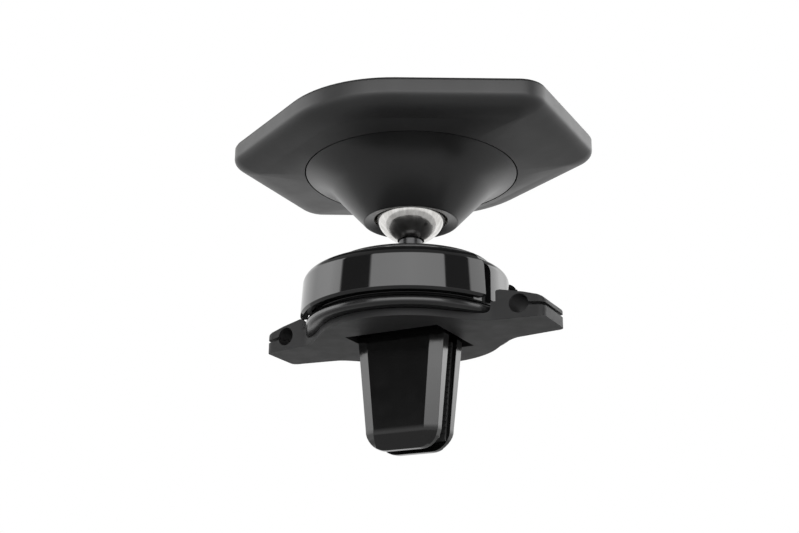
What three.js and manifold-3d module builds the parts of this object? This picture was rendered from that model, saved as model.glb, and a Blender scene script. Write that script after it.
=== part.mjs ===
// Magnetic vent mount: a twist-lock clip for an air-vent slat, a ball joint and a wide magnetic plate.
//
// Millimetres, +Z up. The origin is the root of the slot between the jaws, level with the underside
// of the base body, where the edge of a vent slat stops. +Z runs up the ball stud to the plate's face,
// and the two clip wings lie along X.
import * as THREE from 'three';
import { mergeVertices } from 'three/addons/utils/BufferGeometryUtils.js';
import Module from 'manifold-3d';

const wasm = await Module();
wasm.setup();

// ---------------------------------------------------------------- driving dimensions

const RUNNING_GAP = 0.3;
const REST_GAP = 0.05;
const ROUND = 48;
const FINE = 18;
const COARSE = 10;

// Base body: a round floor with a jaw window, a core tube and two clip wings.
const FLOOR_RADIUS = 16.7;
const FLOOR_HEIGHT = 1.3;
const WINDOW_X = 9.2;
const WINDOW_Y = 7.6;
const WING_END = 28.1;
const WING_TIP_HALF = 3.6;
const WING_HALF = 4.9;
const WING_ROOT_HALF = 5.9;
const WING_ROOT_X = 19;
const WING_TOP_INNER = 5.4;
const WING_TOP_OUTER = 3.4;
const CLIP_HOLE = { x: 23.6, z: 2.6, radius: 1.7 };
const CLIP_SLIT = 0.55;
const CORE_INNER = 12.1;
const CORE_OUTER = 13.2;
const CORE_TOP = 12;
const BOSS_X = 10.9;
const BOSS_RADIUS = 1.35;

// Lock ring and the cam sleeve pressed into it.
const RING_BOTTOM = 3.6;
const RING_EDGE_Z = 4.4;
const RING_RADIUS = 20.1;
const RING_SHOULDER_RADIUS = 19.7;
const RING_TOP = 12;
const RING_INNER = 15.2;
const RING_FILLET = 2;
const RECESS_RADIUS = 18.1;
const RECESS_FILLET = 1.6;
const RECESS_FROM_DEG = -22.2;
const RECESS_TO_DEG = 28.5;
const PANEL_CORNER = 1.1;
const GROOVE_END_Y = -3.6;
const GROOVE_FLOOR_RADIUS = 17;
const GROOVE_TOP = 10.8;
const GROOVE_CORNER = 1.4;
const SLEEVE_INNER = 13.5;
const SLEEVE_OUTER = 14.9;

// Twist-lock travel: the ring's turn, the carriage's drop and each jaw's swing go together.
const LOCK_TURN_DEG = 120;
const CARRIAGE_TRAVEL = 2.4;
const DRIVE_PIN = { z: 8.3, radius: 0.8, inner: 7.5, outer: 14.5 };

// Carriage and jaws.
const CARRIAGE_BOTTOM = 7;
const CARRIAGE_TOP = 9.6;
const CARRIAGE_RADIUS = 11.6;
const CHEEK_INNER = 6.9;
const CHEEK_OUTER = 8.5;
const CHEEK_BOTTOM = 3.6;
const JAW_PIVOT = { y: 3.2, z: 4.9 };
const HINGE_PIN_RADIUS = 0.8;
const JAW_NECK_HALF = 6.6;
const JAW_INNER_Y = 1.65;
const JAW_TIP_Z = -20.2;

// Ball joint, measured from the ball's centre.
const BALL_Z = 25.9;
const STEM_RADIUS = 1.95;
const BALL_RADIUS = 6.9;
const LINER_BALL_RADIUS = 7.12;
const CUP_OUTER = 7.75;
const LINER_RADIUS = 8.65;
const CONE_RIM_RADIUS = 8.85;
const CONE_RIM_Z = -2.9;
const CONE_MOUTH_RADIUS = 6.7;
const CONE_MOUTH_Z = -2.3;
const SEAM_RADIUS = 20;
const SEAM_Z = 6.8;

// Magnetic plate: a stretched hexagon with two soft corners, heights from the ball's centre.
const PLATE_END = 32;
const PLATE_SIDE_APOTHEM = 27.8;
const PLATE_SIDE_DEG = 28.4;
const TIGHT_CORNER = 5.5;
const SOFT_CORNER = 22;
const PLATE_BEVEL_Z = 8.85;
const PLATE_WALL_Z = 10.2;
const PLATE_SHELL_TOP = 13.1;
const PLATE_FACE_Z = 13.5;
const MAGNET_RADIUS = 6;

// ---------------------------------------------------------------- materials

function plastic(color, roughness) {
  return new THREE.MeshStandardMaterial({ color, roughness, metalness: 0 });
}

function metal(color, roughness) {
  return new THREE.MeshStandardMaterial({ color, roughness, metalness: 1 });
}

const MATT_BLACK = plastic(0x1b1b1c, 0.55);
const BASE_BLACK = plastic(0x262627, 0.6);
const GLOSS_BLACK = plastic(0x070708, 0.12);
const RUBBER = plastic(0x141414, 0.85);
const NYLON = plastic(0xd8d4c6, 0.5);
const CHROME = metal(0xe2e2e2, 0.08);
const DARK_STEEL = metal(0x4a4a4c, 0.3);
const STEEL = metal(0x9a9a9c, 0.35);
const SPRING_STEEL = metal(0x8a8a8c, 0.3);
const NICKEL = metal(0xc4c2bc, 0.2);

// ---------------------------------------------------------------- closed solids

function signedVolume(geometry) {
  const position = geometry.getAttribute('position');
  const [a, b, c] = [new THREE.Vector3(), new THREE.Vector3(), new THREE.Vector3()];
  let volume = 0;
  for (let i = 0; i < geometry.index.count; i += 3) {
    a.fromBufferAttribute(position, geometry.index.getX(i));
    b.fromBufferAttribute(position, geometry.index.getX(i + 1));
    c.fromBufferAttribute(position, geometry.index.getX(i + 2));
    volume += a.dot(b.cross(c)) / 6;
  }
  return volume;
}

// Welds shared vertices, drops the flat triangles at a pole and turns every face outwards.
function closed(geometry) {
  const bare = geometry.clone();
  bare.deleteAttribute('normal');
  bare.deleteAttribute('uv');
  const welded = mergeVertices(bare, 1e-4);
  const kept = [];
  for (let i = 0; i < welded.index.count; i += 3) {
    const corner = [0, 1, 2].map((k) => welded.index.getX(i + k));
    if (new Set(corner).size === 3) kept.push(...corner);
  }
  welded.setIndex(kept);
  if (signedVolume(welded) < 0) welded.setIndex(kept.slice().reverse());
  return welded;
}

function toManifold(geometry) {
  const solid = closed(geometry);
  return new wasm.Manifold(new wasm.Mesh({
    numProp: 3,
    vertProperties: Float32Array.from(solid.getAttribute('position').array),
    triVerts: Uint32Array.from(solid.index.array),
  }));
}

function fromManifold(manifold) {
  const mesh = manifold.getMesh();
  const geometry = new THREE.BufferGeometry();
  geometry.setAttribute('position', new THREE.Float32BufferAttribute(mesh.vertProperties, 3));
  geometry.setIndex(Array.from(mesh.triVerts));
  return geometry;
}

function cut(body, ...tools) {
  return fromManifold(tools.reduce((left, tool) => left.subtract(toManifold(tool)), toManifold(body)));
}

function join(body, ...others) {
  return fromManifold(others.reduce((sum, other) => sum.add(toManifold(other)), toManifold(body)));
}

function overlap(first, second) {
  return fromManifold(toManifold(first).intersect(toManifold(second)));
}

// ---------------------------------------------------------------- basic shapes

// A solid of revolution about Z from [radius, z] points.
function turned(profile, segments = ROUND) {
  const points = profile.map(([radius, z]) => new THREE.Vector2(radius, z));
  return new THREE.LatheGeometry(points, segments).rotateX(Math.PI / 2);
}

// A ring or tube: the profile closes on itself.
function turnedRing(profile, segments = ROUND) {
  return turned([...profile, profile[0]], segments);
}

function rod(radius, z0, z1, segments = FINE) {
  return turned([[0, z0], [radius, z0], [radius, z1], [0, z1]], segments);
}

// A rod along X or Y, from one coordinate to the other.
function crossRod(axis, radius, from, to, segments = COARSE) {
  const geometry = rod(radius, from, to, segments);
  return axis === 'x' ? geometry.rotateY(Math.PI / 2) : geometry.rotateX(-Math.PI / 2);
}

function block(x0, x1, y0, y1, z0, z1) {
  const geometry = new THREE.BoxGeometry(x1 - x0, y1 - y0, z1 - z0);
  return geometry.translate((x0 + x1) / 2, (y0 + y1) / 2, (z0 + z1) / 2);
}

function slab(shape, z0, z1, curveSegments = 12) {
  const options = { depth: z1 - z0, bevelEnabled: false, curveSegments };
  return new THREE.ExtrudeGeometry(shape, options).translate(0, 0, z0);
}

// Joins loops of equal length into one skin. A closed stack ends where it starts, like a picture
// frame; an open stack gets a flat cap at each end.
function loft(loops, closedStack) {
  const count = loops[0].length;
  const positions = loops.flat().flatMap((point) => [point.x, point.y, point.z]);
  const index = [];
  const bands = closedStack ? loops.length : loops.length - 1;
  for (let band = 0; band < bands; band += 1) {
    const low = band * count;
    const high = ((band + 1) % loops.length) * count;
    for (let i = 0; i < count; i += 1) {
      const next = (i + 1) % count;
      index.push(low + i, low + next, high + next, low + i, high + next, high + i);
    }
  }
  if (!closedStack) {
    const top = (loops.length - 1) * count;
    for (let i = 1; i < count - 1; i += 1) {
      index.push(0, i + 1, i, top, top + i, top + i + 1);
    }
  }
  const geometry = new THREE.BufferGeometry();
  geometry.setAttribute('position', new THREE.Float32BufferAttribute(positions, 3));
  geometry.setIndex(index);
  return geometry;
}

function coil(radius, wire, z0, z1, turns, stepsPerTurn) {
  class Helix extends THREE.Curve {
    getPoint(t) {
      const angle = t * turns * 2 * Math.PI;
      return new THREE.Vector3(radius * Math.cos(angle), radius * Math.sin(angle), z0 + t * (z1 - z0));
    }
  }
  const section = new THREE.Shape().absarc(0, 0, wire, 0, 2 * Math.PI);
  const options = { steps: turns * stepsPerTurn, curveSegments: 3, extrudePath: new Helix() };
  return new THREE.ExtrudeGeometry(section, options);
}

// ---------------------------------------------------------------- base body

// Plan of the floor and both wings, drawn for one quarter and mirrored.
function basePlan() {
  const arcEnd = THREE.MathUtils.degToRad(42);
  const quarter = new THREE.Path();
  quarter.moveTo(WING_END, WING_TIP_HALF);
  quarter.quadraticCurveTo(WING_END, WING_HALF, WING_END - 1.6, WING_HALF);
  quarter.lineTo(WING_ROOT_X, WING_ROOT_HALF);
  quarter.quadraticCurveTo(17, 6.15, FLOOR_RADIUS * Math.cos(arcEnd), FLOOR_RADIUS * Math.sin(arcEnd));
  quarter.absarc(0, 0, FLOOR_RADIUS, arcEnd, Math.PI / 2, false);
  const points = quarter.getPoints(8);
  const flip = (x, y) => points.map((point) => new THREE.Vector2(x * point.x, y * point.y));
  return new THREE.Shape([
    ...flip(1, 1),
    ...flip(-1, 1).reverse(),
    ...flip(-1, -1),
    ...flip(1, -1).reverse(),
  ]);
}

// Side view of one wing, stood up along Y; side is 1 for the right wing and -1 for the left.
function wingSide(side) {
  const outline = new THREE.Shape();
  outline.moveTo(side * WING_ROOT_X - side * 2, 0.2);
  outline.lineTo(side * (WING_END + 1), 0.2);
  outline.lineTo(side * (WING_END + 1), WING_TOP_OUTER - 0.4);
  outline.lineTo(side * (WING_END - 0.6), WING_TOP_OUTER);
  outline.lineTo(side * 24.4, 4.7);
  outline.lineTo(side * 20.6, WING_TOP_INNER);
  outline.lineTo(side * (WING_ROOT_X - 2), WING_TOP_INNER);
  return slab(outline, -10, 10).rotateX(Math.PI / 2);
}

// The slit lets a cable be pressed into the clip hole from the wing's end.
function clipSlit(side) {
  const length = WING_END - CLIP_HOLE.x + 1;
  const slit = block(0, length, -10, 10, -CLIP_SLIT / 2, CLIP_SLIT / 2);
  slit.rotateY(THREE.MathUtils.degToRad(5));
  if (side < 0) slit.rotateZ(Math.PI);
  return slit.translate(side * CLIP_HOLE.x, 0, CLIP_HOLE.z);
}

function baseBody() {
  const plan = basePlan();
  const ringRoom = rod(RING_RADIUS + 0.4, FLOOR_HEIGHT, 9, ROUND);
  const wings = [1, -1].map((side) => cut(overlap(slab(plan, 0, 7), wingSide(side)), ringRoom));
  const core = turnedRing([
    [CORE_INNER, 0.5],
    [CORE_OUTER, 0.5],
    [CORE_OUTER, CORE_TOP - REST_GAP],
    [CORE_INNER, CORE_TOP - REST_GAP],
  ]);
  const bosses = [1, -1].map((side) =>
    rod(BOSS_RADIUS, 0.5, CORE_TOP - REST_GAP, COARSE).translate(side * BOSS_X, 0, 0));
  const solid = join(slab(plan, 0, FLOOR_HEIGHT), ...wings, core, ...bosses);
  const slotHalf = DRIVE_PIN.radius + RUNNING_GAP;
  const tools = [
    block(-WINDOW_X, WINDOW_X, -WINDOW_Y, WINDOW_Y, -1, FLOOR_HEIGHT + 1),
    block(-slotHalf, slotHalf, -15, 15, DRIVE_PIN.z - CARRIAGE_TRAVEL - slotHalf, DRIVE_PIN.z + slotHalf),
  ];
  for (const side of [1, -1]) {
    const clipHole = crossRod('y', CLIP_HOLE.radius, -10, 10, FINE);
    tools.push(clipHole.translate(side * CLIP_HOLE.x, 0, CLIP_HOLE.z));
    tools.push(clipSlit(side));
    tools.push(rod(0.7, 5, 13, COARSE).translate(side * BOSS_X, 0, 0));
  }
  return cut(solid, ...tools);
}

function bearingRing() {
  return turnedRing([
    [14.9, FLOOR_HEIGHT + REST_GAP],
    [18.2, FLOOR_HEIGHT + REST_GAP],
    [18.85, 1.7],
    [19.1, 2.3],
    [18.85, 2.9],
    [18.2, 3.25],
    [14.9, 3.25],
  ]);
}

// ---------------------------------------------------------------- lock ring and cam sleeve

// Quarter-round from an upright wall to a flat top.
function topFillet(wallRadius, fillet, steps) {
  const points = [];
  for (let step = 0; step <= steps; step += 1) {
    const angle = (step / steps) * (Math.PI / 2);
    points.push([
      wallRadius - fillet + fillet * Math.cos(angle),
      RING_TOP - fillet + fillet * Math.sin(angle),
    ]);
  }
  return points;
}

// Everything between two bearings, seen along X, with the grip panels' upper corners rounded off.
function recessTool() {
  const edgeAt = (degrees) => RING_RADIUS * Math.sin(THREE.MathUtils.degToRad(degrees));
  const from = edgeAt(RECESS_FROM_DEG);
  const to = edgeAt(RECESS_TO_DEG);
  const cornerZ = 10.6 - PANEL_CORNER;
  const outline = new THREE.Shape();
  outline.moveTo(from, 0);
  outline.lineTo(to, 0);
  outline.lineTo(to, cornerZ);
  outline.absarc(to + PANEL_CORNER, cornerZ, PANEL_CORNER, Math.PI, Math.PI / 2, true);
  outline.lineTo(to + PANEL_CORNER, RING_TOP + 1);
  outline.lineTo(from - PANEL_CORNER, RING_TOP + 1);
  outline.absarc(from - PANEL_CORNER, cornerZ, PANEL_CORNER, Math.PI / 2, 0, true);
  const reach = RING_RADIUS + 5;
  return slab(outline, 0, reach, 4).rotateX(Math.PI / 2).rotateZ(Math.PI / 2);
}

// A thin-walled ring with two long grip panels standing proud of it.
// A shallow groove in the ring's body, from the end of a grip panel to a wall with a rounded top corner.
function endGroove() {
  const from = RING_RADIUS * Math.sin(THREE.MathUtils.degToRad(RECESS_FROM_DEG));
  const cornerY = GROOVE_END_Y - GROOVE_CORNER;
  const cornerZ = GROOVE_TOP - GROOVE_CORNER;
  const outline = new THREE.Shape();
  outline.moveTo(from, 0);
  outline.lineTo(GROOVE_END_Y, 0);
  outline.lineTo(GROOVE_END_Y, cornerZ);
  outline.absarc(cornerY, cornerZ, GROOVE_CORNER, 0, Math.PI / 2, false);
  outline.lineTo(from, GROOVE_TOP);
  const block = slab(outline, 0, RING_RADIUS + 5, 4).rotateX(Math.PI / 2).rotateZ(Math.PI / 2);
  return cut(block, rod(GROOVE_FLOOR_RADIUS, -1, RING_TOP + 2, ROUND));
}

function lockRing() {
  const skirtInner = 16.6;
  const rim = 16.4;
  const webBottom = 10.2;
  const body = turnedRing([
    [RING_INNER, RING_BOTTOM],
    [rim, RING_BOTTOM],
    [rim, webBottom],
    [skirtInner, webBottom],
    [skirtInner, RING_BOTTOM],
    [RECESS_RADIUS, RING_BOTTOM],
    ...topFillet(RECESS_RADIUS, RECESS_FILLET, 3),
    [RING_INNER, RING_TOP],
  ]);
  const panels = turnedRing([
    [skirtInner + 0.6, RING_BOTTOM],
    [RING_RADIUS - 0.8, RING_BOTTOM],
    [RING_RADIUS, RING_EDGE_Z],
    ...topFillet(RING_SHOULDER_RADIUS, RING_FILLET, 4),
    [RECESS_RADIUS - RECESS_FILLET, RING_TOP - 0.6],
  ]);
  const recess = recessTool();
  const groove = endGroove();
  return join(
    cut(body, groove, groove.clone().rotateZ(Math.PI)),
    cut(panels, recess, recess.clone().rotateZ(Math.PI)),
  );
}

// A band that climbs as it goes round: the space a drive pin sweeps through the sleeve.
function camSlot(pinDegrees) {
  const margin = 6.5;
  const half = DRIVE_PIN.radius + RUNNING_GAP;
  const steps = 9;
  const loops = [];
  for (let step = 0; step <= steps; step += 1) {
    const offset = -LOCK_TURN_DEG - margin + (step / steps) * (LOCK_TURN_DEG + 2 * margin);
    const angle = THREE.MathUtils.degToRad(pinDegrees + offset);
    const middle = DRIVE_PIN.z + (offset / LOCK_TURN_DEG) * CARRIAGE_TRAVEL;
    const at = (radius, z) => new THREE.Vector3(radius * Math.cos(angle), radius * Math.sin(angle), z);
    loops.push([
      at(SLEEVE_INNER - 1, middle - half),
      at(SLEEVE_OUTER + 1, middle - half),
      at(SLEEVE_OUTER + 1, middle + half),
      at(SLEEVE_INNER - 1, middle + half),
    ]);
  }
  return loft(loops, false);
}

function camSleeve() {
  const tube = turnedRing([
    [SLEEVE_INNER, RING_BOTTOM + REST_GAP],
    [SLEEVE_OUTER, RING_BOTTOM + REST_GAP],
    [SLEEVE_OUTER, RING_TOP - 0.2],
    [SLEEVE_INNER, RING_TOP - 0.2],
  ]);
  return cut(tube, camSlot(90), camSlot(270));
}

// ---------------------------------------------------------------- cap and ball stud

function capDisc() {
  const bottom = RING_TOP + 0.1;
  const top = 13.7;
  const disc = turnedRing([
    [2.6, bottom],
    [14.9, bottom],
    [15.2, bottom + 0.3],
    [15.2, top - 0.5],
    [14.7, top],
    [2.6, top],
  ]);
  const recesses = [1, -1].flatMap((side) => [
    rod(0.9, bottom - 1, top + 1, COARSE).translate(side * BOSS_X, 0, 0),
    rod(1.7, top - 0.8, top + 1, COARSE).translate(side * BOSS_X, 0, 0),
  ]);
  return cut(disc, ...recesses);
}

function capScrew() {
  const top = 13.65;
  const headBottom = top - 0.65;
  const profile = [[0, 6.5], [0.5, 6.5], [0.5, headBottom], [1.4, headBottom], [1.4, top], [0, top]];
  const shank = turned(profile, COARSE);
  return cut(shank, rod(0.6, top - 0.4, top + 1, 6));
}

function ballStud() {
  return turned([
    [0, 9.9],
    [2, 9.9],
    [2, 13.75],
    [4, 13.75],
    [4, 14.5],
    [2.9, 15.4],
    [STEM_RADIUS, 16.6],
    [STEM_RADIUS, BALL_Z - 1.8],
    [0, BALL_Z - 1.8],
  ], FINE);
}

function studNut() {
  return cut(rod(4, 10.1, 12, 6), rod(2.3, 9, 13, FINE));
}

function chromeBall() {
  const boreRadius = STEM_RADIUS + RUNNING_GAP;
  const boreTop = BALL_Z - 1.4;
  const start = Math.asin(boreRadius / BALL_RADIUS);
  const profile = [[0, boreTop], [boreRadius, boreTop]];
  const steps = 11;
  for (let step = 0; step <= steps; step += 1) {
    const angle = start + (step / steps) * (Math.PI - start);
    const radius = step === steps ? 0 : BALL_RADIUS * Math.sin(angle);
    profile.push([radius, BALL_Z - BALL_RADIUS * Math.cos(angle)]);
  }
  return turned(profile, 32);
}

// ---------------------------------------------------------------- socket

// Points on a sphere about the ball's centre, from one height to another.
function spherePoints(radius, low, high, steps) {
  const points = [];
  for (let step = 0; step <= steps; step += 1) {
    const z = low + (step / steps) * (high - low);
    points.push([Math.sqrt(radius ** 2 - z ** 2), BALL_Z + z]);
  }
  return points;
}

function lowerLiner() {
  const low = -1.9;
  const high = -0.1;
  return turnedRing([
    ...spherePoints(LINER_BALL_RADIUS, low, high, 3),
    [LINER_RADIUS, BALL_Z + high],
    [LINER_RADIUS, BALL_Z + low],
  ], 32);
}

// The upper liner seats the ball below and leaves room above for the cup to turn with it.
function upperLiner() {
  const low = 0.1;
  const seatTop = 1.4;
  const high = 5;
  return turnedRing([
    ...spherePoints(LINER_BALL_RADIUS, low, seatTop, 2),
    ...spherePoints(CUP_OUTER + RUNNING_GAP, seatTop, high, 4),
    [LINER_RADIUS, BALL_Z + high],
    [LINER_RADIUS, BALL_Z + low],
  ], 32);
}

// A thin cap over the top of the ball that spreads the spring's push.
function pressureCup() {
  const rim = THREE.MathUtils.degToRad(44);
  const steps = 5;
  const arc = (radius, step) => {
    const angle = (step / steps) * rim;
    return [radius * Math.sin(angle), BALL_Z + radius * Math.cos(angle)];
  };
  const profile = [];
  for (let step = 0; step <= steps; step += 1) profile.push(arc(LINER_BALL_RADIUS, step));
  for (let step = steps; step >= 0; step -= 1) profile.push(arc(CUP_OUTER, step));
  return turned(profile, 32);
}

function discSpring() {
  return turnedRing([
    [6.5, BALL_Z + 5.5],
    [8.3, BALL_Z + 5.15],
    [8.3, BALL_Z + 5.65],
    [6.5, BALL_Z + 6],
  ], 32);
}

// The cone flares out and flattens until it meets the plate's underside at the seam.
function socketCone() {
  const outerEdge = SEAM_RADIUS - 0.05;
  const flare = new THREE.QuadraticBezierCurve(
    new THREE.Vector2(14.8, SEAM_Z - 3.3),
    new THREE.Vector2(16.9, SEAM_Z - 1.1),
    new THREE.Vector2(outerEdge, SEAM_Z),
  );
  const flange = BALL_Z + SEAM_Z + 1.4;
  const boreTop = BALL_Z + 6.4;
  const profile = [
    [CONE_MOUTH_RADIUS, BALL_Z + CONE_MOUTH_Z],
    [CONE_RIM_RADIUS, BALL_Z + CONE_RIM_Z],
    ...flare.getPoints(4).map((point) => [point.x, BALL_Z + point.y]),
    [outerEdge, flange],
    [6.9, flange],
    [6.9, boreTop],
    [LINER_RADIUS + 0.2, boreTop],
    [LINER_RADIUS + 0.2, BALL_Z - 2],
    [CONE_MOUTH_RADIUS + 0.25, BALL_Z - 2],
  ];
  const holes = plateScrewPlaces().map(([x, y]) =>
    rod(0.9, BALL_Z + 3.6, flange + 1, COARSE).translate(x, y, 0));
  return cut(turnedRing(profile), ...holes);
}

// ---------------------------------------------------------------- magnetic plate

function plateScrewPlaces() {
  return [30, 150, 270].map((degrees) => {
    const angle = THREE.MathUtils.degToRad(degrees);
    return [12.9 * Math.cos(angle), 12.9 * Math.sin(angle)];
  });
}

// Corner points of the stretched hexagon, counter-clockwise, with each corner's radius.
function hexCorners(inset) {
  const tilt = THREE.MathUtils.degToRad(PLATE_SIDE_DEG);
  const end = PLATE_END - inset;
  const apothem = PLATE_SIDE_APOTHEM - inset;
  const peak = apothem / Math.cos(tilt);
  const shoulder = (apothem - end * Math.sin(tilt)) / Math.cos(tilt);
  const tight = Math.max(TIGHT_CORNER - inset, 1);
  const soft = SOFT_CORNER - inset;
  return [
    { x: end, y: shoulder, radius: tight },
    { x: 0, y: peak, radius: soft },
    { x: -end, y: shoulder, radius: tight },
    { x: -end, y: -shoulder, radius: tight },
    { x: 0, y: -peak, radius: soft },
    { x: end, y: -shoulder, radius: tight },
  ];
}

// The rounded outline, with the same number of points at every inset.
function hexOutline(inset) {
  const arcSteps = 4;
  const edgeSteps = 2;
  const corners = hexCorners(inset);
  const points = [];
  corners.forEach((corner, i) => {
    const at = new THREE.Vector2(corner.x, corner.y);
    const before = corners[(i + 5) % 6];
    const after = corners[(i + 1) % 6];
    const back = new THREE.Vector2(before.x, before.y).sub(at).normalize();
    const ahead = new THREE.Vector2(after.x, after.y).sub(at).normalize();
    const halfAngle = Math.acos(back.dot(ahead)) / 2;
    const bisector = back.clone().add(ahead).normalize();
    const centre = at.clone().addScaledVector(bisector, corner.radius / Math.sin(halfAngle));
    const reach = corner.radius / Math.tan(halfAngle);
    const start = at.clone().addScaledVector(back, reach).sub(centre).angle();
    let sweep = at.clone().addScaledVector(ahead, reach).sub(centre).angle() - start;
    if (sweep < 0) sweep += 2 * Math.PI;
    for (let step = 0; step <= arcSteps; step += 1) {
      const angle = start + (step / arcSteps) * sweep;
      points.push(new THREE.Vector2(
        centre.x + corner.radius * Math.cos(angle),
        centre.y + corner.radius * Math.sin(angle),
      ));
    }
  });
  const outline = [];
  points.forEach((point, i) => {
    outline.push(point);
    const next = points[(i + 1) % points.length];
    const edgeEnd = (i + 1) % (arcSteps + 1) === 0;
    for (let step = 1; edgeEnd && step <= edgeSteps; step += 1) {
      outline.push(point.clone().lerp(next, step / (edgeSteps + 1)));
    }
  });
  return outline;
}

function hexLoop(inset, z) {
  return hexOutline(inset).map((point) => new THREE.Vector3(point.x, point.y, BALL_Z + z));
}

// A round loop whose points lie at the same bearings as the hexagon's.
function roundLoop(radius, z) {
  return hexOutline(0).map((point) => {
    const angle = point.angle();
    return new THREE.Vector3(radius * Math.cos(angle), radius * Math.sin(angle), BALL_Z + z);
  });
}

function hexSlab(inset, z0, z1) {
  return loft([hexLoop(inset, z0), hexLoop(inset, z1)], false);
}

function plateShell() {
  const recess = SEAM_RADIUS + 0.2;
  const shelf = SEAM_Z + 1.5;
  const floor = SEAM_Z + 2.7;
  const body = loft([
    roundLoop(recess, SEAM_Z),
    hexLoop(2.6, PLATE_BEVEL_Z),
    hexLoop(0.5, PLATE_WALL_Z - 0.5),
    hexLoop(0, PLATE_WALL_Z),
    hexLoop(0, PLATE_SHELL_TOP - 0.2),
    hexLoop(0.2, PLATE_SHELL_TOP),
    hexLoop(1.4, PLATE_SHELL_TOP),
    hexLoop(1.4, 11),
    hexLoop(3.4, 11),
    hexLoop(3.4, floor),
    roundLoop(3, floor),
    roundLoop(3, shelf),
    roundLoop(recess, shelf),
  ], true);
  const holes = plateScrewPlaces().flatMap(([x, y]) => [
    rod(0.9, BALL_Z + shelf - 1, BALL_Z + floor + 1, COARSE).translate(x, y, 0),
    rod(1.7, BALL_Z + floor - 0.6, BALL_Z + floor + 1, COARSE).translate(x, y, 0),
  ]);
  return cut(body, ...holes);
}

function plateScrew([x, y]) {
  const top = BALL_Z + SEAM_Z + 2.65;
  const tip = BALL_Z + 4;
  const headBottom = top - 0.5;
  const profile = [[0, tip], [0.6, tip], [0.6, headBottom], [1.4, headBottom], [1.4, top], [0, top]];
  return turned(profile, COARSE).translate(x, y, 0);
}

function magnetPlaces() {
  return [0, 60, 120, 180, 240, 300].map((degrees) => {
    const angle = THREE.MathUtils.degToRad(degrees);
    return [17 * Math.cos(angle), 15.5 * Math.sin(angle)];
  });
}

function magnetTray() {
  const pockets = magnetPlaces().map(([x, y]) =>
    rod(MAGNET_RADIUS + 0.15, BALL_Z + 10, BALL_Z + 13, FINE).translate(x, y, 0));
  return cut(hexSlab(3.7, 10.6, 12.2), ...pockets);
}

function facePad() {
  return loft([
    hexLoop(1.7, 12.25),
    hexLoop(1.7, PLATE_SHELL_TOP + REST_GAP),
    hexLoop(0.25, PLATE_SHELL_TOP + REST_GAP),
    hexLoop(0.25, PLATE_FACE_Z - 0.15),
    hexLoop(0.4, PLATE_FACE_Z),
  ], false);
}

// ---------------------------------------------------------------- carriage and jaws

function hingePinAt(side) {
  const pin = crossRod('x', HINGE_PIN_RADIUS, -CHEEK_OUTER + 0.1, CHEEK_OUTER - 0.1);
  return pin.translate(0, side * JAW_PIVOT.y, JAW_PIVOT.z);
}

function carriageBody() {
  const cheekHalf = JAW_PIVOT.y + 1.6;
  const solid = join(
    rod(CARRIAGE_RADIUS, CARRIAGE_BOTTOM, CARRIAGE_TOP, 48),
    block(CHEEK_INNER, CHEEK_OUTER, -cheekHalf, cheekHalf, CHEEK_BOTTOM, CARRIAGE_BOTTOM + 1),
    block(-CHEEK_OUTER, -CHEEK_INNER, -cheekHalf, cheekHalf, CHEEK_BOTTOM, CARRIAGE_BOTTOM + 1),
  );
  const pinHole = HINGE_PIN_RADIUS + 0.1;
  const tools = [rod(4.6, CARRIAGE_BOTTOM - 1, CARRIAGE_TOP + 1, FINE)];
  for (const side of [1, -1]) {
    tools.push(rod(BOSS_RADIUS + RUNNING_GAP, 0, 12, COARSE).translate(side * BOSS_X, 0, 0));
    tools.push(crossRod('y', DRIVE_PIN.radius + 0.1, side * 7, side * 15).translate(0, 0, DRIVE_PIN.z));
    tools.push(crossRod('x', pinHole, -10, 10).translate(0, side * JAW_PIVOT.y, JAW_PIVOT.z));
  }
  return cut(solid, ...tools);
}

function drivePin(side) {
  const pin = crossRod('y', DRIVE_PIN.radius, DRIVE_PIN.inner, DRIVE_PIN.outer);
  pin.translate(0, 0, DRIVE_PIN.z);
  return side > 0 ? pin : pin.rotateZ(Math.PI);
}

// One level of a jaw: half width, the flat's half width, and the three depths from the slot's centre.
function jawLevel(z, half, flat, inner, shoulder, face) {
  return [
    new THREE.Vector3(-half, inner, z),
    new THREE.Vector3(half, inner, z),
    new THREE.Vector3(half, shoulder, z),
    new THREE.Vector3(flat, face, z),
    new THREE.Vector3(-flat, face, z),
    new THREE.Vector3(-half, shoulder, z),
  ];
}

function jawBlade() {
  const inner = JAW_INNER_Y;
  const cornerTop = -16.4;
  const cornerRadius = JAW_TIP_Z * -1 + cornerTop;
  const levels = [
    jawLevel(3.2, 8.7, 6.45, inner, 3.8, 4.8),
    jawLevel(0, 8.7, 6.45, inner, 3.75, 4.8),
    jawLevel(cornerTop, 7.2, 5.05, inner, 3.15, 4.25),
  ];
  for (const turn of [30, 50, 70, 90]) {
    const angle = THREE.MathUtils.degToRad(turn);
    const drop = cornerRadius * Math.sin(angle);
    const pull = cornerRadius * (1 - Math.cos(angle));
    const thin = Math.max(0, drop - 0.8);
    levels.push(jawLevel(
      cornerTop - drop,
      7.2 - pull,
      Math.min(5.05, 7.2 - pull - 0.3),
      inner,
      3.15 - 0.25 * thin,
      4.25 - 0.45 * thin,
    ));
  }
  return loft(levels, false);
}

// The blade hangs from a neck with two ears, with room between them for the torsion spring.
function jaw(side) {
  const neckRoom = 2.4;
  const faceY = 4.7;
  const neck = block(-JAW_NECK_HALF, JAW_NECK_HALF, 1.75, faceY, 2, 6.5);
  const solid = cut(
    join(jawBlade(), neck),
    block(-neckRoom, neckRoom, 0, 6, 3.2, 8),
    crossRod('x', HINGE_PIN_RADIUS + 0.1, -10, 10).translate(0, JAW_PIVOT.y, JAW_PIVOT.z),
  );
  return side > 0 ? solid : solid.rotateZ(Math.PI);
}

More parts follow.
